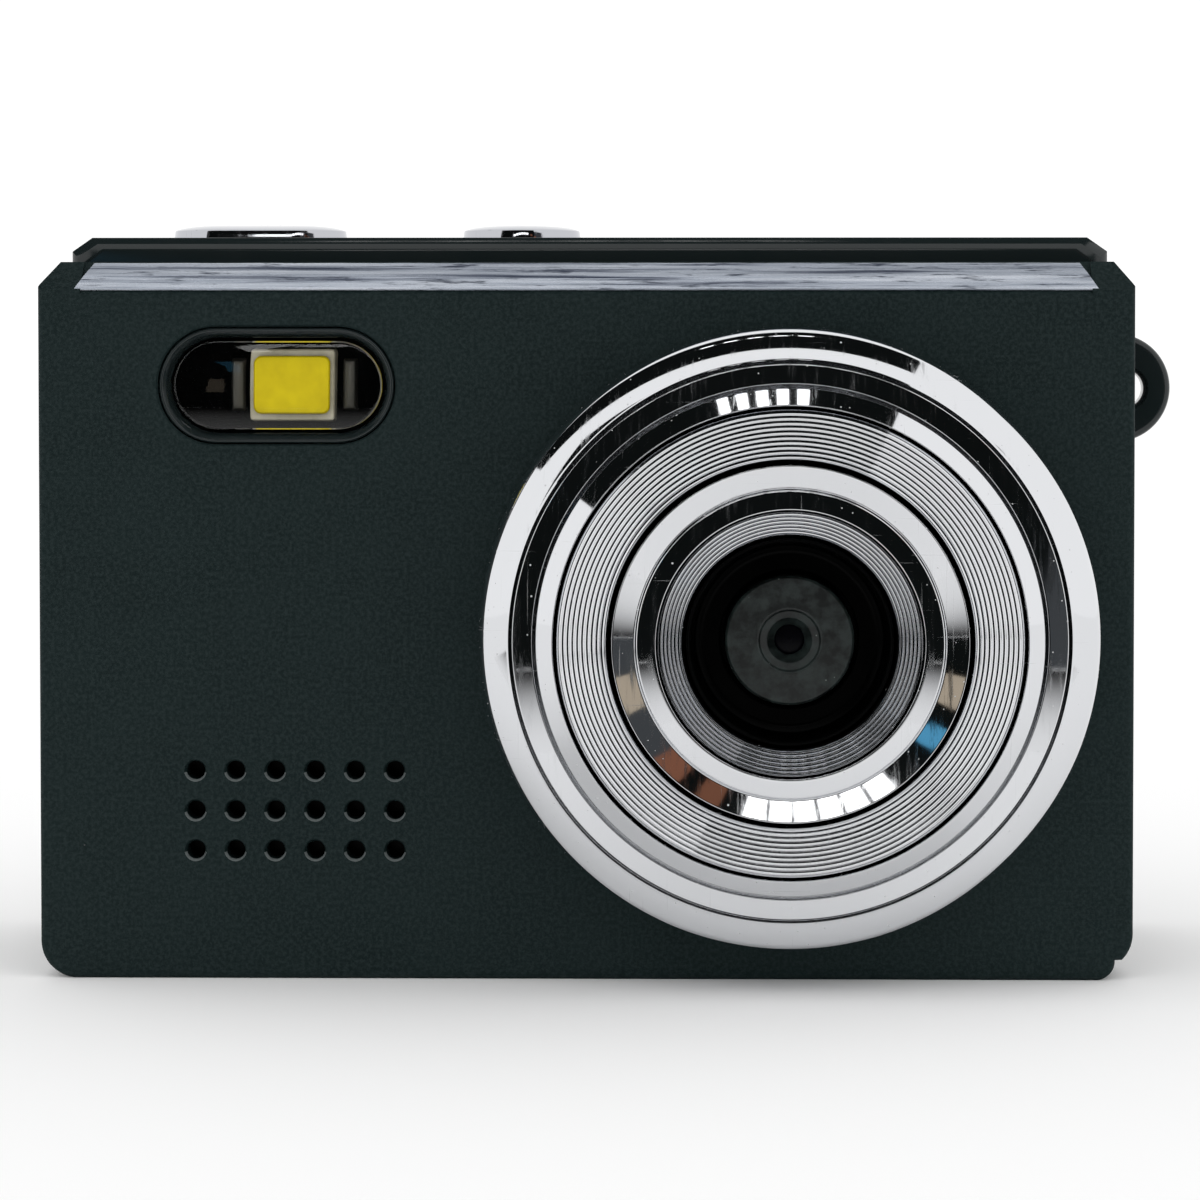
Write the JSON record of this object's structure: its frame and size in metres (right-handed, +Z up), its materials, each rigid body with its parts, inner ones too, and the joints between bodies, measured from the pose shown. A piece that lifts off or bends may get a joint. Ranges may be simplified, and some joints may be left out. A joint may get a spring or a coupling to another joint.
{
  "type": "compact digital camera",
  "caption": "Thumb-size compact digital camera with a ringed chrome lens, LED flash, speaker grille, rear display, deck buttons and a strap lug.",
  "frame": {"origin": "middle of the bottom face the camera stands on", "axes": "the lens looks along -Y, +X is to the viewer's right when facing the lens, +Z up"},
  "size_m": [0.0484, 0.0227, 0.0319],
  "materials": {
    "charcoal": "fine matte moulded charcoal",
    "gloss_black": "polished black moulding",
    "trim": "streaky light grey gloss",
    "chrome": "bright plated plastic, fine scratches",
    "barrel": "dark grey satin",
    "glass": "coated clear",
    "filter": "tinted clear",
    "clear": "clear moulded acrylic",
    "led": "cream moulded package",
    "phosphor": "yellow phosphor gel",
    "solder": "dull solder",
    "dark_plastic": "plain matte",
    "chip": "moulded epoxy",
    "board": "green solder mask",
    "flex": "amber polyimide film",
    "steel": "bright plated steel",
    "foil": "laminated foil pouch",
    "lcd": "dark display glass"
  },
  "bodies": {
    "camera_body": {"battery": "foil", "card_socket": "steel", "case_screw_1": "steel", "case_screw_2": "steel", "case_screw_3": "steel", "case_screw_4": "steel", "deck_board": "board", "flash_bezel": "gloss_black", "flash_board": "board", "flash_led": "led", "flash_pad_left": "solder", "flash_pad_right": "solder", "flash_phosphor": "phosphor", "flash_window": "clear", "front_cover": "charcoal", "ir_filter": "filter", "key_board": "board", "key_switch_1": "steel", "key_switch_2": "steel", "key_switch_3": "steel", "key_switch_4": "steel", "lcd_panel": "lcd", "lcd_window": "clear", "lens_baffle": "gloss_black", "lens_barrel": "barrel", "lens_element": "glass", "lens_grooved_ring": "chrome", "lens_holder": "dark_plastic", "lens_inner_ring": "chrome", "lens_outer_ring": "chrome", "lens_polished_ring": "chrome", "main_board": "board", "memory_chip": "chip", "microphone": "steel", "power_switch": "steel", "processor_chip": "chip", "rear_cover": "gloss_black", "sensor_board": "board", "sensor_chip": "chip", "sensor_flex": "flex", "shutter_switch": "steel", "speaker": "steel", "speaker_gasket": "dark_plastic", "strap_lug": "gloss_black", "top_trim_strip": "trim", "usb_socket": "steel"},
    "shutter_button_body": {"shutter_button": "chrome"},
    "power_button_body": {"power_button": "chrome"},
    "rear_key_1_body": {"rear_key_1": "gloss_black"},
    "rear_key_2_body": {"rear_key_2": "gloss_black"},
    "rear_key_3_body": {"rear_key_3": "gloss_black"},
    "rear_key_4_body": {"rear_key_4": "gloss_black"}
  },
  "joints": [
    {"name": "shutter_button_press", "type": "slide", "parent": "camera_body", "child": "shutter_button_body", "axis": [0, 0, -1], "range_m": [0, 0.0003], "stiffness_N_per_m": 900},
    {"name": "power_button_press", "type": "slide", "parent": "camera_body", "child": "power_button_body", "axis": [0, 0, -1], "range_m": [0, 0.0003], "stiffness_N_per_m": 900},
    {"name": "rear_key_1_press", "type": "slide", "parent": "camera_body", "child": "rear_key_1_body", "axis": [0, -1, 0], "range_m": [0, 0.00025], "stiffness_N_per_m": 900},
    {"name": "rear_key_2_press", "type": "slide", "parent": "camera_body", "child": "rear_key_2_body", "axis": [0, -1, 0], "range_m": [0, 0.00025], "stiffness_N_per_m": 900},
    {"name": "rear_key_3_press", "type": "slide", "parent": "camera_body", "child": "rear_key_3_body", "axis": [0, -1, 0], "range_m": [0, 0.00025], "stiffness_N_per_m": 900},
    {"name": "rear_key_4_press", "type": "slide", "parent": "camera_body", "child": "rear_key_4_body", "axis": [0, -1, 0], "range_m": [0, 0.00025], "stiffness_N_per_m": 900}
  ]
}
